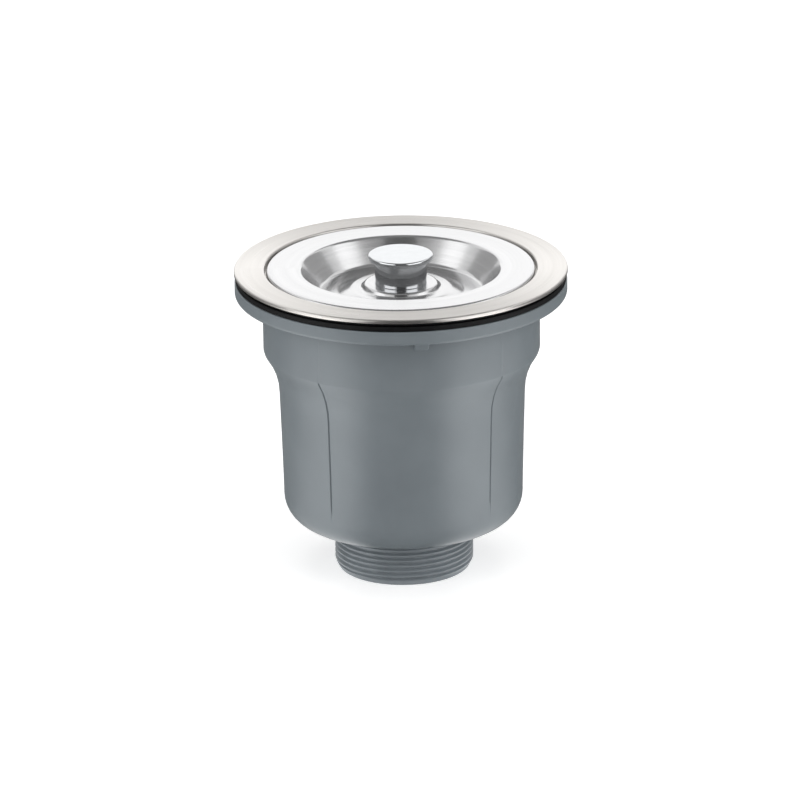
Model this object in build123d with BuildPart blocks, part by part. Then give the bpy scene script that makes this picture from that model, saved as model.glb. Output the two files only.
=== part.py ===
"""Basket-strainer waste for a kitchen sink: pressed steel flange and lid, plastic bucket and outlet.

Millimetres, +Z up. The origin is the centre of the outlet's lower end, and the front is towards -Y.
"""

from build123d import *
import math
import os

# Steel flange that shows in the sink
flange_diameter = 140.0
flange_width = 12.7
flange_sheet = 0.8
flange_rim_height = 1.5
flange_rim_bend = 0.8
recess_depth = 3.4
recess_bend = 0.55
ledge_width = 6.3
collar_length = 28.0
collar_bend = 0.9
bead_height = 2.6
bead_depth = 1.0
bead_bend = 0.6
lip_width = 4.6

# Lid with a dished and terraced centre
lid_gap = 0.9
lid_drop = 0.2
lid_sheet = 0.8
lid_skirt_height = 2.4
lid_rim_bend = 0.7
lid_ring_width = 13.9
dish_edge_bend = 1.4
dish_depth = 10.6
dish_wall_reach = 8.0
dish_floor_bend = 3.0
terrace_diameter = 47.0
terrace_rise = 2.1
boss_diameter = 30.0
boss_rise = 1.9
terrace_slope = 2.6
terrace_bend = 1.2

# Knob, its screw and what seals it
knob_diameter = 27.2
knob_neck_diameter = 21.8
knob_height = 12.4
knob_cap_height = 1.5
knob_flare = 1.5
knob_edge_radius = 0.5
knob_base_chamfer = 0.3
screw_diameter = 5.0
screw_length = 11.0
screw_clearance = 0.1
screw_head_diameter = 9.4
screw_head_height = 2.6
screw_head_fillet = 0.8
screw_slot_width = 1.4
screw_slot_depth = 1.2
screw_hole_spare = 1.0
washer_diameter = 14.0
washer_thickness = 1.0
knob_seal_diameter = 17.0
knob_seal_thickness = 1.2

# Rubber rings
gasket_thickness = 2.2
gasket_edge_radius = 0.45
gasket_inset = 0.4
ring_clearance = 0.3
lid_seal_width = 2.7
basket_seal_thickness = 1.5

# Plastic bucket
outlet_length = 21.4
outlet_bore_diameter = 51.0
outlet_bore_fillet = 2.0
wall = 2.6
bucket_taper = 1.15
bucket_corner_radius = 11.5
bucket_wall_height = 56.3
shoulder_step = 6.45
shoulder_crest_radius = 3.0
shoulder_cove_radius = 32.0
neck_wall = 3.25
neck_length = 23.4
body_flange_setback = 0.2
body_flange_thickness = 6.0
body_flange_fillet = 1.4
body_flange_edge = 0.4
body_flange_root = 0.8

# Lines that the mould leaves on the bucket, and the ribs under its flange
seam_azimuths = (-36.5, 45.5, 143.5, 225.5)
seam_width = 1.0
seam_depth = 0.45
seam_lower_margin = 1.5
rib_azimuth = 8.0
rib_count = 4
rib_width = 6.0
rib_reach = 5.0
rib_height = 6.0

# Outlet thread, a two inch pipe thread
outlet_thread_diameter = 58.8
outlet_thread_pitch = 2.309
outlet_thread_depth = 1.15
outlet_thread_groove = 1.9
outlet_thread_floor = 0.3
outlet_thread_spare = 0.2
outlet_thread_start = 1.35
outlet_thread_stop = 2.2
lead_in_height = 3.0
lead_in_depth = 1.5

# Clamping thread between the bucket's neck and the flange's sleeve
clamp_thread_pitch = 4.0
clamp_thread_depth = 1.3
clamp_ridge_crest = 1.2
clamp_ridge_root = 2.2
clamp_clearance = 0.2
mouth_clearance = 0.4
mouth_depth = 4.5
sleeve_length = 21.0
sleeve_wall = 1.8
sleeve_clearance = 0.1
sleeve_end_chamfer = 0.6

# Strainer basket, its ears and its wire bail
basket_sheet = 0.7
basket_depth = 62.0
basket_rim_clearance = 0.6
basket_lip_clearance = 0.7
basket_rim_bend = 1.0
basket_taper = 4.7
basket_corner_radius = 5.0
slot_count = 24
slot_width = 3.0
slot_length = 30.0
slot_rise = 12.0
hole_diameter = 5.0
hole_ring_step = 9.5
hole_ring_count = 3
bail_wire = 2.4
bail_end_bend = 1.8
bail_end_reach = 1.6
ear_sheet = 0.8
ear_width = 8.0
ear_drop = 9.0
ear_play = 0.2
weld_gap = 0.05


def shoulder_turn(drop, crest, cove):
    """Angle that two tangent arcs turn through to step in by a drop, and the height that they take."""
    angle = math.acos(1 - drop / (crest + cove))
    return math.degrees(angle), (crest + cove) * math.sin(angle)


# Radii that several pieces share
flange_radius = flange_diameter / 2
recess_radius = flange_radius - flange_width
collar_radius = recess_radius - ledge_width
lip_radius = collar_radius - lip_width
lid_radius = recess_radius - lid_gap
dish_radius = lid_radius - lid_ring_width
dish_floor_radius = dish_radius - dish_wall_reach
sleeve_inner_radius = collar_radius + flange_sheet + sleeve_clearance
clamp_root_radius = sleeve_inner_radius + sleeve_wall
clamp_crest_radius = clamp_root_radius + clamp_thread_depth
neck_bore_radius = clamp_root_radius + clamp_clearance
neck_radius = clamp_crest_radius + neck_wall
bucket_top_radius = neck_radius - shoulder_step
bucket_bottom_radius = bucket_top_radius - bucket_taper
body_flange_radius = flange_radius - body_flange_setback
gasket_inner_radius = recess_radius + flange_sheet + ring_clearance
outlet_thread_radius = outlet_thread_diameter / 2
outlet_bore_radius = outlet_bore_diameter / 2
screw_radius = screw_diameter / 2
screw_hole_radius = screw_radius + screw_clearance

# Heights, stacked up from the outlet's end
bucket_floor_z = outlet_length
shoulder_foot_z = bucket_floor_z + bucket_wall_height
shoulder_height = shoulder_turn(
    neck_radius - bucket_top_radius, shoulder_crest_radius, shoulder_cove_radius
)[1]
neck_foot_z = shoulder_foot_z + shoulder_height
body_flange_z = neck_foot_z + neck_length
body_top_z = body_flange_z + body_flange_thickness
mouth_z = body_top_z - mouth_depth
upper_gasket_z = body_top_z + gasket_thickness
flange_top_z = upper_gasket_z + gasket_thickness + flange_sheet
ledge_top_z = flange_top_z - recess_depth
ledge_under_z = ledge_top_z - flange_sheet
sleeve_bottom_z = ledge_under_z - sleeve_length
male_low_z = sleeve_bottom_z - 0.75 * clamp_thread_pitch
lip_top_z = ledge_top_z - collar_length
basket_rim_z = lip_top_z + basket_seal_thickness
basket_top_z = basket_rim_z + basket_sheet
basket_floor_z = basket_top_z - basket_depth
lid_top_z = flange_top_z - lid_drop
boss_top_z = lid_top_z - dish_depth + terrace_rise + boss_rise
boss_under_z = boss_top_z - lid_sheet


def fitted_bends(points, bends):
    """Bend radii, each limited to the room on the legs beside it, which inner legs share."""
    legs = [Vector(*end) - Vector(*start) for start, end in zip(points, points[1:])]
    rooms = [leg.length / 2 for leg in legs]
    rooms[0] *= 2
    rooms[-1] *= 2
    fitted = []
    for bend, leg, next_leg, room, next_room in zip(bends, legs, legs[1:], rooms, rooms[1:]):
        half_turn = math.radians(leg.get_angle(next_leg)) / 2
        fitted.append(min(bend, 0.98 * min(room, next_room) / math.tan(half_turn)))
    return fitted


def pressed_sheet(points, bends, sheet):
    """Section of a pressed sheet, along a line of points with a bend at each inner one."""
    with BuildSketch(Plane.XZ) as section:
        with BuildLine():
            FilletPolyline(*points, radius=fitted_bends(points, bends))
        trace(line_width=sheet)
    return section.sketch


def ring(inner_radius, outer_radius, low_z, thickness, edge_radius):
    """Flat ring with rounded edges."""
    with BuildPart() as piece:
        with BuildSketch(Plane.XY.offset(low_z)):
            Circle(outer_radius)
            Circle(inner_radius, mode=Mode.SUBTRACT)
        extrude(amount=thickness)
        fillet(piece.edges().filter_by(GeomType.CIRCLE), radius=min(edge_radius, thickness / 3))
    return piece.part


def thread_groove(pitch, inner_radius, outer_radius, inner_width, outer_width, low_z, high_z):
    """Helical cutter of tapered section that starts over +X at the low height."""
    with BuildPart() as cutter:
        with BuildLine() as path:
            Helix(pitch, high_z - low_z, inner_radius, center=(0, 0, low_z))
        with BuildSketch(Plane(origin=path.line @ 0, x_dir=(1, 0, 0), z_dir=path.line % 0)):
            with BuildLine():
                Polyline(
                    (0, -inner_width / 2),
                    (outer_radius - inner_radius, -outer_width / 2),
                    (outer_radius - inner_radius, outer_width / 2),
                    (0, inner_width / 2),
                    close=True,
                )
            make_face()
        sweep(path=path.wires()[0], is_frenet=True)
    return cutter.part


def bucket_section(neck, top, bottom, crest, cove, corner, floor_z, top_z):
    """Half section of the bucket inside one of its skins, from the axis outwards."""
    turn = shoulder_turn(neck - top, crest, cove)[0]
    with BuildSketch(Plane.XZ) as section:
        with BuildLine():
            floor_line = Line((0, floor_z), (bottom - corner, floor_z))
            corner_arc = JernArc(floor_line @ 1, (1, 0), corner, 90)
            wall_line = Line(corner_arc @ 1, (top, shoulder_foot_z))
            cove_arc = JernArc(wall_line @ 1, (0, 1), cove, -turn)
            crest_arc = JernArc(cove_arc @ 1, cove_arc % 1, crest, turn)
            Polyline(crest_arc @ 1, (neck, top_z), (0, top_z), (0, floor_z))
        make_face()
    return section.sketch


def bucket_skin(inset):
    """Section inside the bucket's outer skin, moved in by an inset, up to the flange's top."""
    return bucket_section(
        neck_radius - inset,
        bucket_top_radius - inset,
        bucket_bottom_radius - inset,
        shoulder_crest_radius - inset,
        shoulder_cove_radius + inset,
        bucket_corner_radius - inset,
        bucket_floor_z + inset,
        body_top_z,
    )


def azimuth_plane(azimuth):
    """Upright plane through the axis, its X outwards at an azimuth counted from the front."""
    turn = math.radians(azimuth)
    return Plane(
        origin=(0, 0, 0),
        x_dir=(math.sin(turn), -math.cos(turn), 0),
        z_dir=(-math.cos(turn), -math.sin(turn), 0),
    )


def facing_plane(azimuth, height):
    """Upright plane through the axis at a height, facing outwards at an azimuth counted from the front."""
    turn = math.radians(azimuth)
    return Plane(
        origin=(0, 0, height),
        x_dir=(math.cos(turn), math.sin(turn), 0),
        z_dir=(math.sin(turn), -math.cos(turn), 0),
    )


# Steel flange: turned rim, flat ring, recess, ledge, collar with its locking bead, and lip
half_sheet = flange_sheet / 2
collar_line = collar_radius + half_sheet
bead_top_z = sleeve_bottom_z - ring_clearance
with BuildPart() as sink_flange:
    flange_section = pressed_sheet(
        [
            (flange_radius - half_sheet, flange_top_z - flange_rim_height),
            (flange_radius - half_sheet, flange_top_z - half_sheet),
            (recess_radius + half_sheet, flange_top_z - half_sheet),
            (recess_radius + half_sheet, ledge_top_z - half_sheet),
            (collar_line, ledge_top_z - half_sheet),
            (collar_line, bead_top_z),
            (collar_line + bead_depth, bead_top_z - bead_height / 2),
            (collar_line, bead_top_z - bead_height),
            (collar_line, lip_top_z - half_sheet),
            (lip_radius, lip_top_z - half_sheet),
        ],
        [
            flange_rim_bend,
            recess_bend,
            recess_bend,
            collar_bend,
            bead_bend,
            bead_bend,
            bead_bend,
            collar_bend,
        ],
        flange_sheet,
    )
    revolve(flange_section, axis=Axis.Z)
sink_flange.part.label = "sink_flange"

# Plastic sleeve that the collar carries, with the outer half of the clamping thread
with BuildPart() as threaded_sleeve:
    with BuildSketch(Plane.XY.offset(sleeve_bottom_z)):
        Circle(clamp_crest_radius)
        Circle(sleeve_inner_radius, mode=Mode.SUBTRACT)
    extrude(amount=sleeve_length)
    sleeve_ends = threaded_sleeve.edges().filter_by(GeomType.CIRCLE)
    chamfer(sleeve_ends.group_by(Axis.Z)[-1].sort_by(SortBy.RADIUS)[0], length=collar_bend + half_sheet)
    chamfer(sleeve_ends.group_by(Axis.Z)[0].sort_by(SortBy.RADIUS)[-1], length=sleeve_end_chamfer)
    add(
        thread_groove(
            clamp_thread_pitch,
            clamp_root_radius,
            clamp_crest_radius + clamp_clearance,
            clamp_thread_pitch - clamp_ridge_root,
            clamp_thread_pitch - clamp_ridge_crest,
            male_low_z,
            mouth_z + clamp_thread_pitch / 2,
        ),
        mode=Mode.SUBTRACT,
    )
threaded_sleeve.part.label = "threaded_sleeve"

# Rubber gaskets that lie on and under the sink's deck
with BuildPart() as upper_gasket:
    add(
        ring(
            gasket_inner_radius,
            flange_radius - flange_sheet - gasket_inset,
            upper_gasket_z,
            gasket_thickness,
            gasket_edge_radius,
        )
    )
upper_gasket.part.label = "upper_gasket"
with BuildPart() as lower_gasket:
    add(
        ring(
            gasket_inner_radius,
            body_flange_radius - gasket_inset,
            body_top_z,
            gasket_thickness,
            gasket_edge_radius,
        )
    )
lower_gasket.part.label = "lower_gasket"

# Bucket: flange, threaded neck, shoulder, tapered wall, rounded floor and threaded outlet
with BuildPart() as seam_cutter:
    revolve(bucket_skin(-seam_depth), axis=Axis.Z)
    revolve(bucket_skin(seam_depth), axis=Axis.Z, mode=Mode.SUBTRACT)
    seam_low_z = bucket_floor_z + bucket_corner_radius + seam_lower_margin
    with BuildSketch(Plane.XY.offset(seam_low_z)):
        for azimuth in seam_azimuths:
            with Locations(Rotation(0, 0, azimuth)):
                Rectangle(seam_width, body_flange_radius, align=(Align.CENTER, Align.MAX))
    extrude(amount=neck_foot_z - seam_low_z, mode=Mode.INTERSECT)

with BuildPart() as threaded_outlet:
    with BuildSketch():
        Circle(outlet_thread_radius)
    extrude(amount=bucket_floor_z + wall / 2)
    chamfer(threaded_outlet.edges().sort_by(Axis.Z)[0], length=lead_in_height, length2=lead_in_depth)
    add(
        thread_groove(
            outlet_thread_pitch,
            outlet_thread_radius - outlet_thread_depth,
            outlet_thread_radius + outlet_thread_spare,
            outlet_thread_floor,
            outlet_thread_groove,
            outlet_thread_start,
            outlet_length - outlet_thread_stop,
        ),
        mode=Mode.SUBTRACT,
    )

with BuildPart() as drain_body:
    revolve(bucket_skin(0), axis=Axis.Z)
    with BuildSketch(Plane.XY.offset(body_flange_z)):
        Circle(body_flange_radius)
    extrude(amount=body_flange_thickness)
    cavity = bucket_section(
        neck_bore_radius,
        bucket_top_radius - wall,
        bucket_bottom_radius - wall,
        shoulder_crest_radius + wall,
        shoulder_cove_radius + wall,
        bucket_corner_radius - wall,
        bucket_floor_z + wall,
        body_top_z,
    )
    revolve(cavity, axis=Axis.Z, mode=Mode.SUBTRACT)
    add(
        thread_groove(
            clamp_thread_pitch,
            neck_bore_radius - clamp_clearance,
            clamp_crest_radius + clamp_clearance,
            clamp_ridge_root + 2 * clamp_clearance,
            clamp_ridge_crest + 2 * clamp_clearance,
            male_low_z - clamp_thread_pitch / 2,
            mouth_z + mouth_depth / 3,
        ),
        mode=Mode.SUBTRACT,
    )
    with BuildSketch(Plane.XY.offset(mouth_z)):
        Circle(clamp_crest_radius + mouth_clearance)
    extrude(amount=mouth_depth, mode=Mode.SUBTRACT)
    flange_edges = drain_body.edges().filter_by(GeomType.CIRCLE)
    top_edge = flange_edges.group_by(Axis.Z)[-1].sort_by(SortBy.RADIUS)[-1]
    fillet(top_edge, radius=body_flange_edge)
    under_edges = drain_body.edges().filter_by(GeomType.CIRCLE)
    under_edges = under_edges.filter_by_position(Axis.Z, body_flange_z, body_flange_z)
    fillet(under_edges.sort_by(SortBy.RADIUS)[-1], radius=body_flange_fillet)
    fillet(under_edges.sort_by(SortBy.RADIUS)[0], radius=body_flange_root)
    for rib in range(rib_count):
        with BuildSketch(azimuth_plane(rib_azimuth + rib * 360 / rib_count)):
            with BuildLine():
                Polyline(
                    (neck_bore_radius + wall, body_flange_z + wall),
                    (neck_radius + rib_reach, body_flange_z + wall),
                    (neck_radius + rib_reach, body_flange_z),
                    (neck_radius, body_flange_z - rib_height),
                    (neck_bore_radius + wall, body_flange_z - rib_height),
                    close=True,
                )
            make_face()
        extrude(amount=rib_width / 2, both=True)
    add(seam_cutter.part, mode=Mode.SUBTRACT)
    add(threaded_outlet.part)
    with BuildSketch():
        Circle(outlet_bore_radius)
    extrude(amount=bucket_floor_z + wall, mode=Mode.SUBTRACT)
    drain_edge = drain_body.edges().filter_by(GeomType.CIRCLE)
    drain_edge = drain_edge.filter_by_position(Axis.Z, bucket_floor_z + wall, bucket_floor_z + wall)
    fillet(drain_edge.sort_by(SortBy.RADIUS)[0], radius=min(outlet_bore_fillet, 0.9 * wall))
drain_body.part.label = "drain_body"

# Lid: skirt, flat ring, dish, two terraces and the boss that carries the knob
half_lid = lid_sheet / 2
lid_line = lid_top_z - half_lid
floor_line_z = lid_line - dish_depth
terrace_line_z = floor_line_z + terrace_rise
boss_line_z = terrace_line_z + boss_rise
half_slope = terrace_slope / 2
with BuildPart() as lid_pan:
    lid_section = pressed_sheet(
        [
            (lid_radius - half_lid, lid_top_z - lid_skirt_height),
            (lid_radius - half_lid, lid_line),
            (dish_radius, lid_line),
            (dish_floor_radius, floor_line_z),
            (terrace_diameter / 2 + half_slope, floor_line_z),
            (terrace_diameter / 2 - half_slope, terrace_line_z),
            (boss_diameter / 2 + half_slope, terrace_line_z),
            (boss_diameter / 2 - half_slope, boss_line_z),
            (screw_hole_radius, boss_line_z),
        ],
        [
            lid_rim_bend,
            dish_edge_bend,
            dish_floor_bend,
            terrace_bend,
            terrace_bend,
            terrace_bend,
            terrace_bend,
        ],
        lid_sheet,
    )
    revolve(lid_section, axis=Axis.Z)
lid_pan.part.label = "lid_pan"

# Rubber ring between the lid and its ledge
lid_seal_radius = lid_radius - lid_sheet - ring_clearance
with BuildPart() as lid_seal:
    add(
        ring(
            lid_seal_radius - lid_seal_width,
            lid_seal_radius,
            ledge_top_z,
            lid_top_z - lid_sheet - ledge_top_z,
            gasket_edge_radius,
        )
    )
lid_seal.part.label = "lid_seal"

# Knob, turned from solid with a blind hole for its screw
knob_top_z = boss_top_z + knob_height
knob_cap_z = knob_top_z - knob_cap_height
knob_neck_radius = knob_neck_diameter / 2
with BuildPart() as lid_knob:
    with BuildSketch(Plane.XZ):
        with BuildLine():
            neck_line = Polyline(
                (0, boss_top_z),
                (knob_neck_radius - knob_base_chamfer, boss_top_z),
                (knob_neck_radius, boss_top_z + knob_base_chamfer),
                (knob_neck_radius, knob_cap_z - knob_flare),
            )
            flare_arc = JernArc(neck_line @ 1, (0, 1), knob_flare, -90)
            Polyline(
                flare_arc @ 1,
                (knob_diameter / 2, knob_cap_z),
                (knob_diameter / 2, knob_top_z),
                (0, knob_top_z),
                (0, boss_top_z),
            )
        make_face()
    revolve(axis=Axis.Z)
    cap_edges = lid_knob.edges().filter_by(GeomType.CIRCLE).filter_by_position(
        Axis.Z, knob_cap_z - knob_edge_radius / 2, knob_top_z
    )
    rim_edges = [edge for edge in cap_edges if edge.radius > knob_diameter / 2 - knob_edge_radius]
    fillet(rim_edges, radius=knob_edge_radius)
    with BuildSketch(Plane.XY.offset(boss_top_z)):
        Circle(screw_hole_radius)
    extrude(amount=screw_length - screw_hole_spare, mode=Mode.SUBTRACT)
lid_knob.part.label = "lid_knob"

# Rubber washer, steel washer and pan-head screw under the boss
knob_seal_z = boss_under_z - knob_seal_thickness
washer_z = knob_seal_z - washer_thickness
with BuildPart() as knob_seal:
    add(ring(screw_hole_radius, knob_seal_diameter / 2, knob_seal_z, knob_seal_thickness, ring_clearance))
knob_seal.part.label = "knob_seal"
with BuildPart() as knob_washer:
    with BuildSketch(Plane.XY.offset(washer_z)):
        Circle(washer_diameter / 2)
        Circle(screw_hole_radius, mode=Mode.SUBTRACT)
    extrude(amount=washer_thickness)
knob_washer.part.label = "knob_washer"
with BuildPart() as knob_screw:
    with BuildSketch(Plane.XY.offset(washer_z - screw_head_height)):
        Circle(screw_head_diameter / 2)
    extrude(amount=screw_head_height)
    fillet(knob_screw.edges().group_by(Axis.Z)[0], radius=screw_head_fillet)
    with BuildSketch(Plane.XY.offset(washer_z)):
        Circle(screw_radius)
    extrude(amount=screw_length)
    with BuildSketch(Plane.XY.offset(washer_z - screw_head_height)):
        Rectangle(screw_head_diameter, screw_slot_width)
    extrude(amount=screw_slot_depth, mode=Mode.SUBTRACT)
knob_screw.part.label = "knob_screw"

# Rubber ring on the collar's lip, under the basket's rim
with BuildPart() as basket_seal:
    add(
        ring(
            lip_radius + ring_clearance,
            collar_radius - collar_bend,
            lip_top_z,
            basket_seal_thickness,
            gasket_edge_radius,
        )
    )
basket_seal.part.label = "basket_seal"

# Strainer basket: flat rim, tapered wall with slots, rounded floor with rings of holes
half_basket = basket_sheet / 2
basket_mouth_radius = lip_radius - basket_lip_clearance - half_basket
basket_floor_radius = basket_mouth_radius - basket_taper
ear_bottom_z = basket_top_z - ear_drop
bail_z = basket_top_z + bail_wire / 2
with BuildPart() as basket:
    basket_section = pressed_sheet(
        [
            (collar_radius - basket_rim_clearance, basket_rim_z + half_basket),
            (basket_mouth_radius, basket_rim_z + half_basket),
            (basket_floor_radius, basket_floor_z + half_basket),
            (0, basket_floor_z + half_basket),
        ],
        [basket_rim_bend, basket_corner_radius],
        basket_sheet,
    )
    revolve(basket_section, axis=Axis.Z)
    slot_z = basket_floor_z + slot_rise + slot_length / 2
    slot_planes = [facing_plane(360 * (slot + 0.5) / slot_count, slot_z) for slot in range(slot_count)]
    with BuildSketch(*slot_planes):
        SlotOverall(slot_length, slot_width, rotation=90)
    extrude(amount=collar_radius, mode=Mode.SUBTRACT)
    with BuildSketch(Plane.XY.offset(basket_floor_z)):
        Circle(hole_diameter / 2)
        for hole_ring in range(1, hole_ring_count + 1):
            with PolarLocations(hole_ring * hole_ring_step, 6 * hole_ring):
                Circle(hole_diameter / 2)
    extrude(amount=basket_sheet, mode=Mode.SUBTRACT)
basket.part.label = "basket"

# Ears that are welded inside the basket's mouth and stand up to hold the bail
wall_slope = (basket_mouth_radius - basket_floor_radius) / (basket_depth - basket_sheet)
wall_radius_at_ear = basket_mouth_radius - wall_slope * ear_drop - half_basket
ear_outer_x = math.sqrt(wall_radius_at_ear**2 - (ear_width / 2) ** 2) - weld_gap
ear_inner_x = ear_outer_x - ear_sheet
ears = []
for name, side in (("basket_ear_left", -1), ("basket_ear_right", 1)):
    with BuildPart() as ear:
        ear_face = Plane(origin=(side * ear_inner_x, 0, 0), x_dir=(0, side, 0), z_dir=(side, 0, 0))
        with BuildSketch(ear_face):
            with Locations((0, (bail_z + ear_bottom_z) / 2)):
                SlotCenterToCenter(bail_z - ear_bottom_z - ear_width / 2, ear_width, rotation=90)
            with Locations((0, bail_z)):
                Circle(bail_wire / 2 + ear_play, mode=Mode.SUBTRACT)
        extrude(amount=ear_sheet)
    ear.part.label = name
    ears.append(ear)

# Wire bail, folded down on the basket's rim, its ends turned in through the ears
bail_end_x = ear_inner_x - bail_end_reach
bail_radius = ear_outer_x + ear_play + bail_end_bend
with BuildPart() as basket_bail:
    with BuildLine(Plane.XY.offset(bail_z)) as bail_path:
        bail_start = Line((-bail_end_x, 0), (bail_end_bend - bail_radius, 0))
        left_bend = JernArc(bail_start @ 1, (-1, 0), bail_end_bend, -90)
        bow = JernArc(left_bend @ 1, (0, 1), bail_radius, -180)
        right_bend = JernArc(bow @ 1, (0, -1), bail_end_bend, -90)
        Line(right_bend @ 1, (bail_end_x, 0))
    with BuildSketch(Plane(origin=bail_path.line @ 0, z_dir=bail_path.line % 0)):
        Circle(bail_wire / 2)
    sweep(path=bail_path.line)
basket_bail.part.label = "basket_bail"

pieces = [
    sink_flange,
    threaded_sleeve,
    upper_gasket,
    lower_gasket,
    drain_body,
    lid_pan,
    lid_seal,
    lid_knob,
    knob_seal,
    knob_washer,
    knob_screw,
    basket_seal,
    basket,
    *ears,
    basket_bail,
]
os.makedirs("parts", exist_ok=True)
for piece in pieces:
    export_step(piece.part, f"parts/{piece.part.label}.step")
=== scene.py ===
"""Looks of a kitchen sink basket strainer waste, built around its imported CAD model.

The frame is in metres, +Z up, front towards -Y. The object's own sizes are in millimetres, as in the CAD.
"""

import math

import bmesh
import bpy
import numpy as np
from mathutils import Matrix, Vector


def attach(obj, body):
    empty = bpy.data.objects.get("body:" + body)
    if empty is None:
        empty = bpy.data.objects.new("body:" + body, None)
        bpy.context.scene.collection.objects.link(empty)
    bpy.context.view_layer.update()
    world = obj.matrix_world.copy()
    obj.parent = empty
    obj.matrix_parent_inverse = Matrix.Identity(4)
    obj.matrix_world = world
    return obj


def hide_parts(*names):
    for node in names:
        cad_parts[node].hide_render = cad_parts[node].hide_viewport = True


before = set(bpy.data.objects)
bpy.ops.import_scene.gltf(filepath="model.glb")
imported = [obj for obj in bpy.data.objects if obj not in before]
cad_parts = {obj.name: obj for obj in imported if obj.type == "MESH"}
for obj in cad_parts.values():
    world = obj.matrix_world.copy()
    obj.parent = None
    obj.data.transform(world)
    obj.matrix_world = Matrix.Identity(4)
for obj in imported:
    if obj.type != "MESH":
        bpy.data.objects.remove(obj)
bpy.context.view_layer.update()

MM = 0.001
BODY = "root"

# Steel flange, in millimetres as in the CAD
FLANGE_RADIUS = 70.0
FLANGE_TOP = 132.546
SHEET = 0.8
FLANGE_RIM_HEIGHT = 1.5
RECESS_RADIUS = 57.3
LEDGE_TOP = 129.146
COLLAR_RADIUS = 51.0
LIP_RADIUS = 46.4
LIP_TOP = 101.146
BEAD_TOP = 107.046
BEAD_HEIGHT = 2.6
BEAD_DEPTH = 1.0
FLANGE_RIM_BEND = 0.8
RECESS_EDGE_BEND = 0.42
LEDGE_BEND = 0.55
COLLAR_BEND = 0.9
BEAD_BEND = 0.6

# Lid
LID_RADIUS = 56.4
LID_TOP = 132.346
LID_SKIRT = 2.4
DISH_RADIUS = 42.5
DISH_FLOOR_RADIUS = 34.5
DISH_DEPTH = 10.6
TERRACE_RADIUS = 23.5
TERRACE_RISE = 2.1
BOSS_RADIUS = 15.0
BOSS_RISE = 1.9
BOSS_SLOPE = 1.3
TERRACE_HALF_SLOPE = 2.73
SCREW_HOLE = 2.6
LID_RIM_BEND = 0.9
DISH_EDGE_BEND = 1.4
DISH_FLOOR_BEND = 3.0
BOSS_FOOT_BEND = 1.6
BOSS_EDGE_BEND = 1.2

# Knob
BOSS_TOP = 125.746
KNOB_RADIUS = 13.6
KNOB_NECK_RADIUS = 10.9
KNOB_HEIGHT = 12.4
KNOB_CAP = 2.2
KNOB_FLARE = 0.8
KNOB_EDGE = 0.8
KNOB_FOOT_BEND = 0.3
KNOB_UNDER_BEND = 0.35

# Gaskets, with a line of shade left between the two
GASKET_INNER = 58.4
GASKET_BEND = 0.45
# Underside, top and outer radius
UPPER_GASKET = (129.746, 131.746, 68.8)
LOWER_GASKET = (127.346, 129.546, 69.4)

# Bucket
OUTLET_LENGTH = 21.4
OUTLET_RADIUS = 29.4
OUTLET_BORE = 25.5
WALL = 2.6
BUCKET_TOP_RADIUS = 51.8
BUCKET_BOTTOM_RADIUS = 50.65
BUCKET_CORNER = 11.5
SHOULDER_FOOT = 77.7
CREST = 1.8
COVE = 32.0
NECK_RADIUS = 58.25
NECK_BORE = 53.9
NECK_FOOT = 97.946
BODY_FLANGE_RADIUS = 69.8
BODY_FLANGE_LOW = 121.346
BODY_TOP = 127.346
MOUTH_RADIUS = 55.4
MOUTH = 122.846
SEAM_AZIMUTHS = (-36.5, 45.5, 143.5, 225.5)
SEAM_WIDTH = 0.9
SEAM_DEPTH = 0.45
SEAM_LOW = 34.4
SEAM_FADE = 6.0
SEAM_TOP = NECK_FOOT + 0.5
SEAM_TOP_FADE = 1.5
SKIN_DEPTH = 0.3
RIB_AZIMUTHS = (8.0, 98.0, 188.0, 278.0)
RIB_WIDTH = 6.0
RIB_REACH = 5.0
RIB_HEIGHT = 6.0
RIB_BEVEL = 0.5
RIB_BEVEL_STEPS = 3
NECK_ROOT_BEND = 0.8
FLANGE_UNDER_BEND = 1.4
FLANGE_EDGE_BEND = 0.4
MOUTH_BEND = 0.2
DRAIN_BEND = 2.0
NECK_MARGIN = 4.0
# Share of the wall's taper at each height
WALL_ROWS = ((0.01, 34.4), (0.06, 37.4), (0.12, 40.4), (0.5, 58.0), (0.9, 73.0))

# Outlet thread
THREAD_PITCH = 2.309
THREAD_START = 1.35
THREAD_STOP = 20.2
THREAD_DEPTH = 1.15
THREAD_CREST_WIDTH = 1.66
THREAD_ROOT_WIDTH = 0.3
THREAD_RUN_OUT = 1.2
LEAD_IN = (27.9, 3.0)
OUTLET_LAP = 0.8
FLOOR_LAP = 1.0
BORE_SKIN = 0.9
# Steps out and up of the rounded edge at the bore's end
BORE_EDGE = ((0, 0.6), (0.25, 0.15), (0.8, 0))

# How fine the meshes are, and where they stay sharp
TURN_STEPS = 288
ARC_STEP = math.radians(9)
SUPPORT = 0.25
LEG_SHARE = 0.49
SAME_POINT = 1e-4
THREAD_ROWS = 150
SEAM_COLUMNS = 9
SEAM_COLUMN_STEP = 0.14  # degrees
SHARP_ANGLE = math.radians(40)
MERGE_DISTANCE = 1e-7  # metres

# Grain of the materials, in noise cells per metre
FLOW_MARKS = 45.0
SATIN_MARKS = 180.0
MOULD_GRAIN = 2600.0
FINE_RINGS = 3200.0
WIDE_RINGS = 420.0
HAZE = 260.0
HAIRLINES = 900.0
RUBBER_DUST = 700.0
RUBBER_SKIN = 1500.0
RUBBER_GRAIN = 3000.0
FLOOR_GRAIN = 40.0
CARD_GRAIN = 8.0
RING_STRETCH = 0.0004

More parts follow.
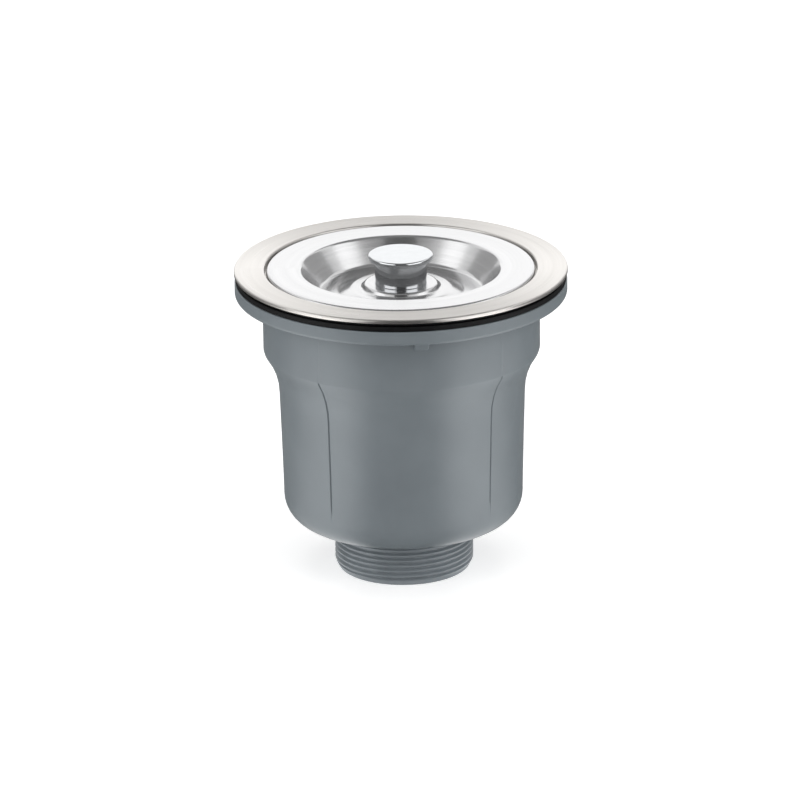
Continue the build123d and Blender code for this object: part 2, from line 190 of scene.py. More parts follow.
# How far the noise moves roughness and colour
PLASTIC_ROUGHNESS = (0.32, 0.40)
RUBBER_ROUGHNESS = (0.42, 0.6)
RUBBER_DARK = (0.002, 0.002, 0.0024)
RUBBER_LIGHT = (0.005, 0.005, 0.0055)
ROUGHNESS_SWING = 0.05
HAIRLINE_RANGE = (0.7, 1.3)
HAZE_SHADE = 0.96


def arc(centre, radius, start, end):
    """Points of an arc in a section; angles in degrees from +X towards +Z."""
    steps = max(2, round(abs(math.radians(end - start)) / ARC_STEP))
    turns = [math.radians(start + (end - start) * step / steps) for step in range(steps + 1)]
    return [(centre[0] + radius * math.cos(t), centre[1] + radius * math.sin(t)) for t in turns]


def rounded(points, closed=False):
    """Line through (r, z, bend) points with each bend as an arc and a support point beside it."""
    line = []
    count = len(points)
    for index, point in enumerate(points):
        here = Vector(point[:2])
        bend = point[2] if len(point) > 2 else 0.0
        end = not closed and index in (0, count - 1)
        if end or bend <= 0:
            line.append(here)
            continue
        before = Vector(points[index - 1][:2])
        after = Vector(points[(index + 1) % count][:2])
        leg_in, leg_out = before - here, after - here
        half = leg_in.angle(leg_out) / 2
        reach = min(bend / math.tan(half), LEG_SHARE * leg_in.length, LEG_SHARE * leg_out.length)
        radius = reach * math.tan(half)
        leg_in, leg_out = leg_in.normalized(), leg_out.normalized()
        centre = here + (leg_in + leg_out).normalized() * radius / math.sin(half)
        start = here + leg_in * reach - centre
        turn = start.angle_signed(here + leg_out * reach - centre)
        steps = max(2, round(abs(turn) / ARC_STEP))
        line.append(centre + start + leg_in * SUPPORT)
        for step in range(steps + 1):
            angle = -turn * step / steps
            line.append(centre + Matrix.Rotation(angle, 2) @ start)
        line.append(here + leg_out * (reach + SUPPORT))
    return [(p[0], p[1]) for p in line]


def sheet_loop(points, thickness):
    """Closed section of a sheet of even thickness along a rounded line."""
    line = np.array(rounded(points))
    keep = np.r_[True, np.linalg.norm(np.diff(line, axis=0), axis=1) > SAME_POINT]
    line = line[keep]
    along = np.gradient(line, axis=0)
    along /= np.linalg.norm(along, axis=1)[:, None]
    aside = np.stack([-along[:, 1], along[:, 0]], axis=1) * thickness / 2
    return np.vstack([line + aside, (line - aside)[::-1]])


def turn_angles(extra=()):
    """Angles of a turned mesh's columns, finer beside each extra one."""
    angles = set(np.round(np.linspace(0, 2 * math.pi, TURN_STEPS, endpoint=False), 6))
    for middle in extra:
        for step in range(-SEAM_COLUMNS, SEAM_COLUMNS + 1):
            beside = middle + math.radians(SEAM_COLUMN_STEP * step)
            angles.add(round(beside % (2 * math.pi), 6))
    return np.array(sorted(angles))


def close_up(mesh):
    """Merges points that meet on the axis, turns faces outwards and smooths all but sharp edges."""
    shell = bmesh.new()
    shell.from_mesh(mesh)
    bmesh.ops.remove_doubles(shell, verts=shell.verts, dist=MERGE_DISTANCE)
    bmesh.ops.recalc_face_normals(shell, faces=shell.faces)
    shell.to_mesh(mesh)
    shell.free()
    mesh.shade_smooth()
    mesh.set_sharp_from_angle(angle=SHARP_ANGLE)


def add_piece(name, verts, faces, material):
    """Closed mesh object that rides on the one body."""
    mesh = bpy.data.meshes.new(name)
    mesh.from_pydata([tuple(v) for v in verts], [], faces)
    mesh.validate()
    close_up(mesh)
    piece = bpy.data.objects.new(name, mesh)
    bpy.context.scene.collection.objects.link(piece)
    mesh.materials.append(material)
    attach(piece, BODY)
    return piece


def turned(name, loop, material, angles=None, shape=None, closed=True):
    """Section in millimetres turned about the axis; shape(r, z, angle) may move each point's radius."""
    angles = turn_angles() if angles is None else angles
    loop = np.asarray(loop, float)
    rows, columns = len(loop), len(angles)
    radius = np.repeat(loop[:, 0:1], columns, axis=1)
    height = np.repeat(loop[:, 1:2], columns, axis=1)
    turn = np.repeat(angles[None, :], rows, axis=0)
    if shape is not None:
        radius = shape(radius, height, turn)
    verts = np.stack([radius * np.cos(turn), radius * np.sin(turn), height], axis=2).reshape(-1, 3) * MM
    faces = []
    for row in range(rows if closed else rows - 1):
        low, high = row * columns, (row + 1) % rows * columns
        for column in range(columns):
            beside = (column + 1) % columns
            faces.append((low + column, low + beside, high + beside, high + column))
    return add_piece(name, verts, faces, material)


def add_node(tree, kind, inputs=None, **settings):
    """Shader node with its settings, and its inputs set to a value or linked from a socket."""
    made = tree.nodes.new(kind)
    for key, value in settings.items():
        setattr(made, key, value)
    for key, value in (inputs or {}).items():
        if isinstance(value, bpy.types.NodeSocket):
            tree.links.new(value, made.inputs[key])
        else:
            made.inputs[key].default_value = value
    return made


def shader(name, **constants):
    """New material, its node tree and its main shader."""
    made = bpy.data.materials.new(name)
    made.use_nodes = True
    tree = made.node_tree
    main = tree.nodes["Principled BSDF"]
    for key, value in constants.items():
        main.inputs[key.replace("_", " ")].default_value = value
    return made, tree, main


def blotches(tree, where, scale, detail=3.0, rough=0.55):
    """Noise between 0 and 1 at a place."""
    return add_node(
        tree, "ShaderNodeTexNoise", {"Vector": where, "Scale": scale, "Detail": detail, "Roughness": rough}
    ).outputs["Fac"]


def spread(tree, value, low, high, source=(0.3, 0.7)):
    """A noise's usual range mapped to low and high."""
    return add_node(
        tree,
        "ShaderNodeMapRange",
        {"Value": value, "From Min": source[0], "From Max": source[1], "To Min": low, "To Max": high},
    ).outputs["Result"]


def tint(tree, value, dark, light):
    """Colour between two by a value."""
    return add_node(
        tree, "ShaderNodeMix", {"Factor": value, "A": (*dark, 1), "B": (*light, 1)}, data_type="RGBA"
    ).outputs[2]


def relief(tree, main, value, strength, distance):
    """Bump on a shader."""
    bump = add_node(
        tree, "ShaderNodeBump", {"Height": value, "Strength": strength, "Distance": distance}
    )
    tree.links.new(bump.outputs["Normal"], main.inputs["Normal"])


def object_place(tree):
    """Place on the object, in metres."""
    return add_node(tree, "ShaderNodeTexCoord").outputs["Object"]


def moulded_plastic(name, dark, light):
    """Satin plastic with faint flow marks and a fine moulded grain."""
    made, tree, main = shader(name, IOR=1.46)
    place = object_place(tree)
    flow = spread(tree, blotches(tree, place, FLOW_MARKS), 0.0, 1.0)
    tree.links.new(tint(tree, flow, dark, light), main.inputs["Base Color"])
    satin = spread(tree, blotches(tree, place, SATIN_MARKS), *PLASTIC_ROUGHNESS)
    tree.links.new(satin, main.inputs["Roughness"])
    relief(tree, main, blotches(tree, place, MOULD_GRAIN, detail=2.0), strength=0.12, distance=0.00005)
    return made


def ring_place(tree):
    """Place that changes fast across the turning marks and slowly along them."""
    split = add_node(tree, "ShaderNodeSeparateXYZ", {"Vector": object_place(tree)})
    flat = add_node(
        tree, "ShaderNodeCombineXYZ", {"X": split.outputs["X"], "Y": split.outputs["Y"]}
    )
    radius = add_node(tree, "ShaderNodeVectorMath", {0: flat.outputs["Vector"]}, operation="LENGTH")
    angle = add_node(
        tree, "ShaderNodeMath", {0: split.outputs["Y"], 1: split.outputs["X"]}, operation="ARCTAN2"
    )
    slow = add_node(
        tree, "ShaderNodeMath", {0: angle.outputs["Value"], 1: RING_STRETCH}, operation="MULTIPLY"
    )
    return add_node(
        tree,
        "ShaderNodeCombineXYZ",
        {"X": radius.outputs["Value"], "Y": slow.outputs["Value"], "Z": split.outputs["Z"]},
    ).outputs["Vector"]


def turned_steel(name, dark, light, rough, grain, anisotropy):
    """Steel with fine rings from turning or brushing."""
    made, tree, main = shader(name, Metallic=1.0, Anisotropic=anisotropy, Anisotropic_Rotation=0.25)
    place = ring_place(tree)
    rings = blotches(tree, place, FINE_RINGS, detail=2.0)
    wide = spread(tree, blotches(tree, place, WIDE_RINGS), 0.0, 1.0)
    tree.links.new(tint(tree, wide, dark, light), main.inputs["Base Color"])
    turned_rough = spread(tree, rings, rough - ROUGHNESS_SWING, rough + ROUGHNESS_SWING)
    tree.links.new(turned_rough, main.inputs["Roughness"])
    tangent = add_node(tree, "ShaderNodeTangent", direction_type="RADIAL", axis="Z")
    tree.links.new(tangent.outputs["Tangent"], main.inputs["Tangent"])
    relief(tree, main, rings, strength=grain, distance=0.00004)
    return made


def polished(name, colour, rough):
    """Chrome with faint hairlines and a breath of haze."""
    made, tree, main = shader(name, Metallic=1.0)
    place = object_place(tree)
    haze = spread(tree, blotches(tree, place, HAZE), 0.0, 1.0)
    tree.links.new(tint(tree, haze, [HAZE_SHADE * c for c in colour], colour), main.inputs["Base Color"])
    low, high = HAIRLINE_RANGE
    hairlines = spread(tree, blotches(tree, place, HAIRLINES), low * rough, high * rough)
    tree.links.new(hairlines, main.inputs["Roughness"])
    return made


def rubber(name):
    """Black rubber with a dull, slightly dusty skin."""
    made, tree, main = shader(name, IOR=1.5, Specular_IOR_Level=0.15)
    place = object_place(tree)
    dust = spread(tree, blotches(tree, place, RUBBER_DUST), 0.0, 1.0)
    tree.links.new(tint(tree, dust, RUBBER_DARK, RUBBER_LIGHT), main.inputs["Base Color"])
    skin = spread(tree, blotches(tree, place, RUBBER_SKIN), *RUBBER_ROUGHNESS)
    tree.links.new(skin, main.inputs["Roughness"])
    relief(tree, main, blotches(tree, place, RUBBER_GRAIN), strength=0.2, distance=0.00005)
    return made


GREY_PLASTIC = moulded_plastic("grey_plastic", (0.139, 0.160, 0.174), (0.153, 0.176, 0.190))
# Painted light: the outlet is the bucket's own grey plastic, painted lighter in place of the light that
# reaches its shaded thread from below
OUTLET_PLASTIC_PAINTED_LIGHTER = moulded_plastic("outlet_plastic_painted_lighter", (0.182, 0.204, 0.220), (0.198, 0.222, 0.240))
DARK_PLASTIC = moulded_plastic("dark_plastic", (0.10, 0.105, 0.11), (0.12, 0.125, 0.13))
FLANGE_STEEL = turned_steel(
    "flange_steel", (0.64, 0.618, 0.592), (0.69, 0.668, 0.642), rough=0.32, grain=0.10, anisotropy=0.9
)
LID_STEEL = turned_steel(
    "lid_steel", (0.62, 0.62, 0.625), (0.67, 0.67, 0.675), rough=0.20, grain=0.05, anisotropy=0.6
)
BASKET_STEEL = turned_steel(
    "basket_steel", (0.58, 0.58, 0.575), (0.64, 0.64, 0.635), rough=0.24, grain=0.05, anisotropy=0.3
)
CHROME = polished("knob_chrome", (0.64, 0.655, 0.67), rough=0.04)
RUBBER = rubber("gasket_rubber")

# Material of every CAD node, also of those that a piece below replaces
NODE_MATERIALS = {
    "sink_flange": FLANGE_STEEL,
    "threaded_sleeve": DARK_PLASTIC,
    "upper_gasket": RUBBER,
    "lower_gasket": RUBBER,
    "drain_body": GREY_PLASTIC,
    "lid_pan": LID_STEEL,
    "lid_seal": RUBBER,
    "lid_knob": CHROME,
    "knob_seal": RUBBER,
    "knob_washer": BASKET_STEEL,
    "knob_screw": CHROME,
    "basket_seal": RUBBER,
    "basket": BASKET_STEEL,
    "basket_ear_left": BASKET_STEEL,
    "basket_ear_right": BASKET_STEEL,
    "basket_bail": BASKET_STEEL,
}
for node_name, node_material in NODE_MATERIALS.items():
    node_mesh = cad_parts[node_name].data
    node_mesh.materials.clear()
    node_mesh.materials.append(node_material)


def make_flange():
    """Pressed steel flange, down to the lip of its collar."""
    half = SHEET / 2
    line = [
        (FLANGE_RADIUS - half, FLANGE_TOP - FLANGE_RIM_HEIGHT),
        (FLANGE_RADIUS - half, FLANGE_TOP - half, FLANGE_RIM_BEND),
        (RECESS_RADIUS + half, FLANGE_TOP - half, RECESS_EDGE_BEND),
        (RECESS_RADIUS + half, LEDGE_TOP - half, LEDGE_BEND),
        (COLLAR_RADIUS + half, LEDGE_TOP - half, COLLAR_BEND),
        (COLLAR_RADIUS + half, BEAD_TOP, BEAD_BEND),
        (COLLAR_RADIUS + half + BEAD_DEPTH, BEAD_TOP - BEAD_HEIGHT / 2, BEAD_BEND),
        (COLLAR_RADIUS + half, BEAD_TOP - BEAD_HEIGHT, BEAD_BEND),
        (COLLAR_RADIUS + half, LIP_TOP - half, COLLAR_BEND),
        (LIP_RADIUS, LIP_TOP - half),
    ]
    piece = turned("flange_ring", sheet_loop(line, SHEET), FLANGE_STEEL)
    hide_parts("sink_flange")


def make_lid():
    """Pressed lid with its dish, terraces and boss."""
    half = SHEET / 2
    top = LID_TOP - half
    floor = top - DISH_DEPTH
    terrace = floor + TERRACE_RISE
    boss = terrace + BOSS_RISE
    line = [
        (LID_RADIUS - half, LID_TOP - LID_SKIRT),
        (LID_RADIUS - half, top, LID_RIM_BEND),
        (DISH_RADIUS, top, DISH_EDGE_BEND),
        (DISH_FLOOR_RADIUS, floor, DISH_FLOOR_BEND),
        (TERRACE_RADIUS + TERRACE_HALF_SLOPE, floor, DISH_FLOOR_BEND),
        (TERRACE_RADIUS - TERRACE_HALF_SLOPE, terrace, DISH_FLOOR_BEND),
        (BOSS_RADIUS + BOSS_SLOPE, terrace, BOSS_FOOT_BEND),
        (BOSS_RADIUS, boss, BOSS_EDGE_BEND),
        (SCREW_HOLE, boss),
    ]
    piece = turned("lid_plate", sheet_loop(line, SHEET), LID_STEEL)
    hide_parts("lid_pan")


def make_knob():
    """Turned mushroom knob."""
    cap = BOSS_TOP + KNOB_HEIGHT - KNOB_CAP
    top = BOSS_TOP + KNOB_HEIGHT
    neck = cap - KNOB_FLARE
    foot = (KNOB_NECK_RADIUS, BOSS_TOP, KNOB_FOOT_BEND)
    line = rounded([(0, BOSS_TOP), foot, (KNOB_NECK_RADIUS, neck)])
    line += arc((KNOB_NECK_RADIUS + KNOB_FLARE, neck), KNOB_FLARE, 180, 90)[1:]
    edges = [(KNOB_RADIUS, cap, KNOB_UNDER_BEND), (KNOB_RADIUS, top, KNOB_EDGE)]
    line += rounded([line[-1], *edges, (0, top)])[1:]
    piece = turned("knob", line, CHROME, closed=False)
    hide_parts("lid_knob")


def make_gasket(name, node, sizes):
    """Flat rubber ring with rounded edges."""
    low, high, outer = sizes
    bend = GASKET_BEND
    line = rounded(
        [(GASKET_INNER, low, bend), (outer, low, bend), (outer, high, bend), (GASKET_INNER, high, bend)],
        closed=True,
    )
    piece = turned(name, line, RUBBER)
    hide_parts(node)


def front_angle(azimuth):
    """Angle of a turned mesh's column at an azimuth counted from the front."""
    return math.radians(azimuth - 90)


def seam_shape(radius, height, turn):
    """Outer skin of the bucket with its mould lines cut in."""
    skin = (radius > BUCKET_BOTTOM_RADIUS - SKIN_DEPTH) & (height > SEAM_LOW) & (height < SEAM_TOP)
    fade = np.clip((height - SEAM_LOW) / SEAM_FADE, 0, 1)
    fade *= np.clip((SEAM_TOP - height) / SEAM_TOP_FADE, 0, 1)
    cut = np.zeros_like(radius)
    for azimuth in SEAM_AZIMUTHS:
        away = (turn - front_angle(azimuth) + math.pi) % (2 * math.pi) - math.pi
        cut = np.maximum(cut, np.clip(1 - np.abs(away) * radius / (SEAM_WIDTH / 2), 0, 1))
    return radius - np.where(skin, SEAM_DEPTH * cut * fade, 0)


def shoulder(neck, foot, crest, cove):
    """Points up the two tangent arcs from the bucket's wall to its neck."""
    turn = math.degrees(math.acos(1 - (neck - foot) / (crest + cove)))
    low = arc((foot + cove, SHOULDER_FOOT), cove, 180, 180 - turn)
    high = arc((neck - crest, NECK_FOOT), crest, -turn, 0)
    return low + high[1:]


def make_bucket():
    """Bucket with its flange, neck, shoulder and rounded floor."""
    inner_corner = BUCKET_CORNER - WALL
    inner_floor = OUTLET_LENGTH + WALL
    corner = BUCKET_BOTTOM_RADIUS - BUCKET_CORNER
    outer = [(OUTLET_RADIUS - FLOOR_LAP, OUTLET_LENGTH)]
    outer += arc((corner, OUTLET_LENGTH + BUCKET_CORNER), BUCKET_CORNER, -90, 0)
    outer += [
        (BUCKET_BOTTOM_RADIUS + (BUCKET_TOP_RADIUS - BUCKET_BOTTOM_RADIUS) * share, height)
        for share, height in WALL_ROWS
    ]
    outer += shoulder(NECK_RADIUS, BUCKET_TOP_RADIUS, CREST, COVE)
    flange = [
        (NECK_RADIUS, BODY_FLANGE_LOW - NECK_MARGIN),
        (NECK_RADIUS, BODY_FLANGE_LOW, NECK_ROOT_BEND),
        (BODY_FLANGE_RADIUS, BODY_FLANGE_LOW, FLANGE_UNDER_BEND),
        (BODY_FLANGE_RADIUS, BODY_TOP, FLANGE_EDGE_BEND),
        (MOUTH_RADIUS, BODY_TOP, MOUTH_BEND),
        (MOUTH_RADIUS, MOUTH, MOUTH_BEND),
        (NECK_BORE, MOUTH, MOUTH_BEND),
        (NECK_BORE, NECK_FOOT + NECK_MARGIN),
    ]
    inner = shoulder(NECK_BORE, BUCKET_TOP_RADIUS - WALL, CREST + WALL, COVE + WALL)[::-1]
    inner += arc((corner, inner_floor + inner_corner), inner_corner, 0, -90)
    drain = rounded([inner[-1], (OUTLET_BORE, inner_floor, DRAIN_BEND), (OUTLET_BORE, OUTLET_LENGTH)])[1:]
    loop = outer + rounded(flange) + inner + drain
    angles = turn_angles([front_angle(azimuth) for azimuth in SEAM_AZIMUTHS])
    piece = turned("bucket", loop, GREY_PLASTIC, angles=angles, shape=seam_shape)
    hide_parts("drain_body")


def thread_shape(radius, height, turn):
    """Outlet's outer wall with its right-hand thread cut in."""
    rise = height - THREAD_START - THREAD_PITCH * turn / (2 * math.pi)
    away = np.abs((rise / THREAD_PITCH + 0.5) % 1 - 0.5) * THREAD_PITCH
    half_crest, half_root = THREAD_CREST_WIDTH / 2, THREAD_ROOT_WIDTH / 2
    share = np.clip((half_crest - away) / (half_crest - half_root), 0, 1)
    run_out = np.clip((THREAD_STOP - height) / THREAD_RUN_OUT, 0, 1)
    cut = np.minimum(radius, OUTLET_RADIUS - THREAD_DEPTH * share * run_out)
    return np.where(radius > OUTLET_BORE + BORE_SKIN, cut, radius)


def make_outlet():
    """Outlet pipe with its thread and the lead-in at its end."""
    end_radius, end_height = LEAD_IN
    outer = [
        (min(OUTLET_RADIUS, end_radius + (OUTLET_RADIUS - end_radius) * height / end_height), height)
        for height in np.linspace(0, OUTLET_LENGTH, THREAD_ROWS)
    ]
    lap = OUTLET_LENGTH + OUTLET_LAP
    inside = [(OUTLET_RADIUS, lap), (OUTLET_BORE + OUTLET_LAP, lap)]
    bore = [(OUTLET_BORE, OUTLET_LENGTH)] + [(OUTLET_BORE + out, up) for out, up in BORE_EDGE]
    # The outlet takes the bucket's grey plastic painted lighter, as painted light
    piece = turned("outlet", outer + inside + bore, OUTLET_PLASTIC_PAINTED_LIGHTER, shape=thread_shape)


def make_ribs():
    """Ribs under the bucket's flange."""
    for number, azimuth in enumerate(RIB_AZIMUTHS, 1):
        turn = front_angle(azimuth)
        outward = Vector((math.cos(turn), math.sin(turn), 0))
        aside = Vector((-math.sin(turn), math.cos(turn), 0))
        section = [
            (NECK_BORE + WALL, BODY_FLANGE_LOW + WALL),
            (NECK_RADIUS + RIB_REACH, BODY_FLANGE_LOW + WALL),
            (NECK_RADIUS + RIB_REACH, BODY_FLANGE_LOW),
            (NECK_RADIUS, BODY_FLANGE_LOW - RIB_HEIGHT),
            (NECK_BORE + WALL, BODY_FLANGE_LOW - RIB_HEIGHT),
        ]
        verts = []
        for side in (-1, 1):
            for r, z in section:
                verts.append((outward * r + aside * side * RIB_WIDTH / 2 + Vector((0, 0, z))) * MM)
        count = len(section)
        faces = [tuple(range(count))[::-1], tuple(range(count, 2 * count))]
        faces += [(i, (i + 1) % count, (i + 1) % count + count, i + count) for i in range(count)]
        rib = add_piece(f"flange_rib_{number}", verts, faces, GREY_PLASTIC)
        bevel = rib.modifiers.new("bevel", "BEVEL")
        bevel.width = RIB_BEVEL * MM
        bevel.segments = RIB_BEVEL_STEPS


make_flange()
make_lid()
make_knob()
make_gasket("gasket_upper", "upper_gasket", UPPER_GASKET)
make_gasket("gasket_lower", "lower_gasket", LOWER_GASKET)
make_bucket()
make_outlet()
make_ribs()

# Camera, fitted to the photograph, in millimetres, degrees and pixels
CAMERA_DISTANCE = 2456.0
CAMERA_TILT = 19.81
CAMERA_ROLL = -0.724
CAMERA_ASIDE = -1.02
CAMERA_DROP = -59.53
FOCAL_PIXELS = 5813.0
PHOTO_WIDTH = 800.0
SENSOR_WIDTH = 36.0
CAMERA_REACH = 50.0  # metres

# Floor and cards, from here on in metres
FLOOR_HALF = 6.0
FLOOR_GREYS = ((0.79,) * 3, (0.81,) * 3)
CARD_GREYS = ((0.02,) * 3, (0.03,) * 3)
PAINT_ROUGHNESS = 0.9
DISC_STEP = 10  # degrees

# Floor's sheen: where it changes, by angle from the front or by distance, and between what shares
SHEEN_FRONT = (math.radians(20), math.radians(50), 0.01, 1.0)
SHEEN_BACK = (math.radians(50), math.radians(120), 1.0, 0.04)
SHEEN_NEAR = (0.05, 0.2, 0.5, 1.0)
SHEEN_FAR = (0.33, 0.41, 1.0, 0.03)


def make_camera():
    """Camera at the photograph's place."""
    tilt, roll = math.radians(CAMERA_TILT), math.radians(CAMERA_ROLL)
    forward = Vector((0, math.cos(tilt), -math.sin(tilt)))
    level = Vector((1, 0, 0))
    upright = level.cross(forward)
    right = level * math.cos(roll) + upright * math.sin(roll)
    up = upright * math.cos(roll) - level * math.sin(roll)
    data = bpy.data.cameras.new("camera")
    data.sensor_width = SENSOR_WIDTH
    data.lens = FOCAL_PIXELS / PHOTO_WIDTH * SENSOR_WIDTH
    data.clip_end = CAMERA_REACH
    camera = bpy.data.objects.new("camera", data)
    turn = Matrix((right, up, -forward)).transposed().to_4x4()
    middle = Vector((CAMERA_ASIDE, 0, FLANGE_TOP + CAMERA_DROP))
    camera.matrix_world = Matrix.Translation((middle - forward * CAMERA_DISTANCE) * MM) @ turn
    bpy.context.scene.collection.objects.link(camera)
    bpy.context.scene.camera = camera


def lamp(name, place, aim, size, power):
    """Large soft lamp."""
    data = bpy.data.lights.new(name, "AREA")
    data.shape = "RECTANGLE"
    data.size, data.size_y = size
    data.energy = power
    made = bpy.data.objects.new(name, data)
    made.visible_glossy = False
    made.location = place
    made.rotation_mode = "QUATERNION"
    made.rotation_quaternion = (Vector(aim) - Vector(place)).to_track_quat("-Z", "Y")
    bpy.context.scene.collection.objects.link(made)


def seen_direct(tree):
    """1 for rays from the camera or a mirror or glass surface, 0 for the rest."""
    path = add_node(tree, "ShaderNodeLightPath")
    total = path.outputs["Is Camera Ray"]
    for kind in ("Is Glossy Ray", "Is Transmission Ray"):
        either = add_node(tree, "ShaderNodeMath", {0: total, 1: path.outputs[kind]}, operation="MAXIMUM")
        total = either.outputs["Value"]
    return total


def make_world(light):
    """White to look at, and a softer grey as light."""
    world = bpy.data.worlds.new("studio")
    bpy.context.scene.world = world
    world.use_nodes = True
    tree = world.node_tree
    strength = spread(tree, seen_direct(tree), light, 1.0, source=(0, 1))
    background = tree.nodes["Background"]
    background.inputs["Color"].default_value = (1, 1, 1, 1)
    tree.links.new(strength, background.inputs["Strength"])


def make_floor(glow, light):
    """Pale floor that reads as the white background and keeps the object's shadow."""
    corners = [(-FLOOR_HALF, -FLOOR_HALF, 0), (FLOOR_HALF, -FLOOR_HALF, 0)]
    corners += [(FLOOR_HALF, FLOOR_HALF, 0), (-FLOOR_HALF, FLOOR_HALF, 0)]
    mesh = bpy.data.meshes.new("floor")
    mesh.from_pydata(corners, [], [(0, 1, 2, 3)])
    floor = bpy.data.objects.new("floor", mesh)
    bpy.context.scene.collection.objects.link(floor)
    made, tree, main = shader("floor_paint", Roughness=PAINT_ROUGHNESS)
    grain = spread(tree, blotches(tree, object_place(tree), FLOOR_GRAIN), 0.0, 1.0)
    tree.links.new(tint(tree, grain, *FLOOR_GREYS), main.inputs["Base Color"])
    main.inputs["Emission Color"].default_value = (1, 1, 1, 1)
    strength = spread(tree, seen_direct(tree), light, glow, source=(0, 1))
    tree.links.new(strength, main.inputs["Emission Strength"])
    mesh.materials.append(made)


def reflector(name, verts, faces, glow, pattern=None):
    """Card that only reflections see, as metal shows a studio's panels; pattern(tree) scales its glow."""
    mesh = bpy.data.meshes.new(name)
    mesh.from_pydata(verts, [], faces)
    card = bpy.data.objects.new(name, mesh)
    card.visible_camera = False
    card.visible_diffuse = False
    card.visible_shadow = False
    card.visible_transmission = False
    bpy.context.scene.collection.objects.link(card)
    made, tree, main = shader(name + "_paint", Roughness=PAINT_ROUGHNESS)
    grain = spread(tree, blotches(tree, object_place(tree), CARD_GRAIN), 0.0, 1.0)
    tree.links.new(tint(tree, grain, *CARD_GREYS), main.inputs["Base Color"])
    main.inputs["Emission Color"].default_value = (1, 1, 1, 1)
    share = spread(tree, grain, 0.98, 1.0, source=(0, 1)) if pattern is None else pattern(tree)
    tree.links.new(product(tree, share, glow), main.inputs["Emission Strength"])
    mesh.materials.append(made)


def upright_card(name, start, end, foot, head, glow):
    """Flat reflector that stands on the line between two places in plan."""
    corners = [(*start, foot), (*end, foot), (*end, head), (*start, head)]
    reflector(name, corners, [(0, 1, 2, 3)], glow)


def level_disc(name, middle, radius, glow, pattern=None):
    """Level round reflector."""
    x, y, z = middle
    turns = [math.radians(turn) for turn in range(0, 360, DISC_STEP)]
    rim = [(x + radius * math.cos(t), y + radius * math.sin(t), z) for t in turns]
    reflector(name, rim, [tuple(range(len(rim)))], glow, pattern)


def make_arch(name, radius, middle, widths, glow):
    """Strip that rises overhead from the front; widths are (rise, half width, shift) in degrees."""
    verts, faces = [], []
    for rise, half, shift in widths:
        up = math.radians(rise)
        for sign in (-1, 1):
            across = math.radians(shift) + sign * math.radians(half)
            level = math.cos(across)
            out = Vector((math.sin(across), -math.cos(up) * level, math.sin(up) * level))
            verts.append(Vector(middle) + out * radius)
    for step in range(len(widths) - 1):
        first = 2 * step
        faces.append((first, first + 1, first + 3, first + 2))
    reflector(name, verts, faces, glow)


def ramp(tree, value, start, stop, before, after):
    """Smooth step of a value."""
    return add_node(
        tree,
        "ShaderNodeMapRange",
        {"Value": value, "From Min": start, "From Max": stop, "To Min": before, "To Max": after},
        interpolation_type="SMOOTHSTEP",
    ).outputs["Result"]


def product(tree, *values):
    """Values multiplied together."""
    total = values[0]
    for value in values[1:]:
        step = add_node(tree, "ShaderNodeMath", {0: total, 1: value}, operation="MULTIPLY")
        total = step.outputs["Value"]
    return total


def floor_pattern(tree):
    """Bright at both sides near the object; dark in front, far out and behind."""
    place = object_place(tree)
    split = add_node(tree, "ShaderNodeSeparateXYZ", {"Vector": place})
    ahead = product(tree, split.outputs["Y"], -1.0)
    turn = add_node(tree, "ShaderNodeMath", {0: split.outputs["X"], 1: ahead}, operation="ARCTAN2")
    flipped = add_node(tree, "ShaderNodeMath", {0: turn.outputs["Value"]}, operation="ABSOLUTE")
    aside = flipped.outputs["Value"]
    away = add_node(tree, "ShaderNodeVectorMath", {0: place}, operation="LENGTH").outputs["Value"]
    by_turn = [ramp(tree, aside, *SHEEN_FRONT), ramp(tree, aside, *SHEEN_BACK)]
    by_distance = [ramp(tree, away, *SHEEN_NEAR), ramp(tree, away, *SHEEN_FAR)]
    return product(tree, *by_turn, *by_distance)


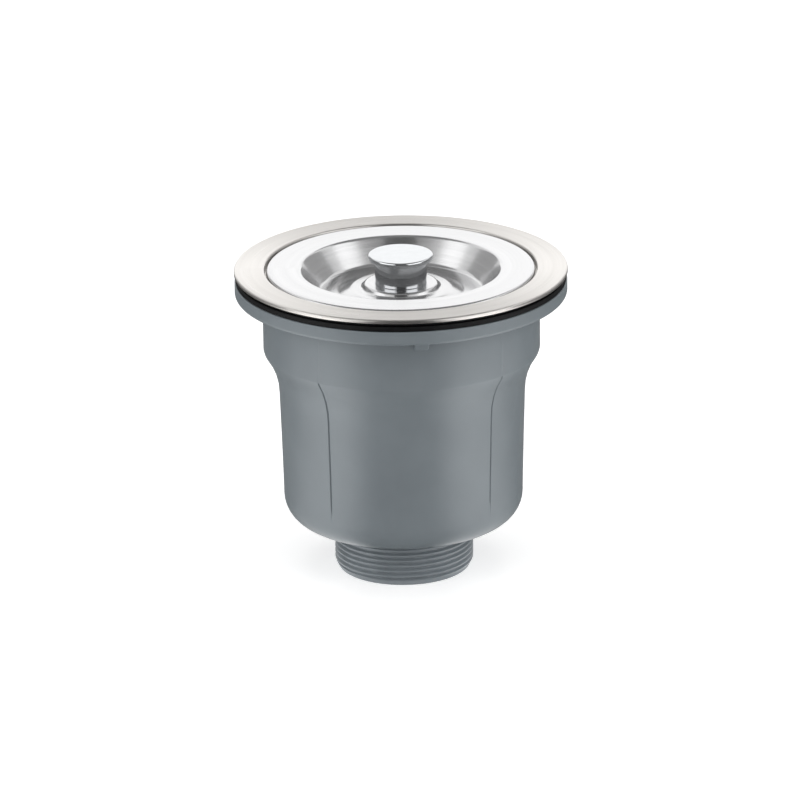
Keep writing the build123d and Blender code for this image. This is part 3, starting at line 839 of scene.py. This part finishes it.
# Lamps: name, place, aim, size in metres and power in watts
LAMPS = (
    ("key_left", (-1.5, -0.7, 0.7), (0, 0, 0.08), (0.9, 1.4), 15),
    ("key_right", (1.5, -0.7, 0.7), (0, 0, 0.08), (0.9, 1.4), 15),
    ("top", (0, 0.3, 1.8), (0, 0, 0.1), (1.4, 1.4), 8),
)
WORLD_LIGHT = 0.45
FLOOR_GLOW = 0.5
FLOOR_LIGHT = 0.3

# What the metal mirrors from above
ARCH = ((-4, 24, 2), (10, 22, 2), (30, 18, 1), (45, 16, 0), (60, 15, 0))
ARCH_RADIUS = 1.5
ARCH_MIDDLE = (0, 0, 0.13)
ARCH_GLOW = 0.05
CEILING_MIDDLE = (0.05, 0, 1.6)
CEILING_RADIUS = 1.25
CEILING_GLOW = 0.24

# Upright cards: name, both ends in plan, foot, head and glow; the side ones stand left and right
BACK_CARDS = (
    ("back_panel", (-0.75, 1.7), (0.75, 1.7), 0.0, 1.6, 1.33),
    ("back_flag", (0.15, 1.69), (1.2, 1.69), 1.55, 2.3, 0.1),
)
SIDE_CARDS = (
    ("side_panel", (1.6, -1.0), (1.6, 0.2), 1.0, 2.0, 1.5),
    ("front_panel", (0.75, -1.41), (1.55, -0.41), 0.3, 1.2, 1.8),
    ("side_flag", (1.58, -0.28), (1.45, 0.68), 0.0, 0.95, 0.2),
    ("corner_flag", (1.45, 0.68), (0.85, 1.4), 0.0, 1.0, 0.4),
)

# Sheen that the metal mirrors from the floor
SHEEN_MIDDLE = (0, 0, 0.002)
SHEEN_RADIUS = 1.3
SHEEN_GLOW = 3.6

make_camera()
for lamp_sizes in LAMPS:
    lamp(*lamp_sizes)
make_world(WORLD_LIGHT)
make_floor(FLOOR_GLOW, FLOOR_LIGHT)
make_arch("overhead_arch", ARCH_RADIUS, ARCH_MIDDLE, ARCH, ARCH_GLOW)
level_disc("ceiling", CEILING_MIDDLE, CEILING_RADIUS, CEILING_GLOW)
for card_sizes in BACK_CARDS:
    upright_card(*card_sizes)
for side, side_name in ((-1, "left"), (1, "right")):
    for card_name, start, end, foot, head, glow in SIDE_CARDS:
        start, end = (side * start[0], start[1]), (side * end[0], end[1])
        upright_card(f"{card_name}_{side_name}", start, end, foot, head, glow)
level_disc("floor_sheen", SHEEN_MIDDLE, SHEEN_RADIUS, SHEEN_GLOW, floor_pattern)

bpy.context.scene.view_settings.view_transform = "Standard"
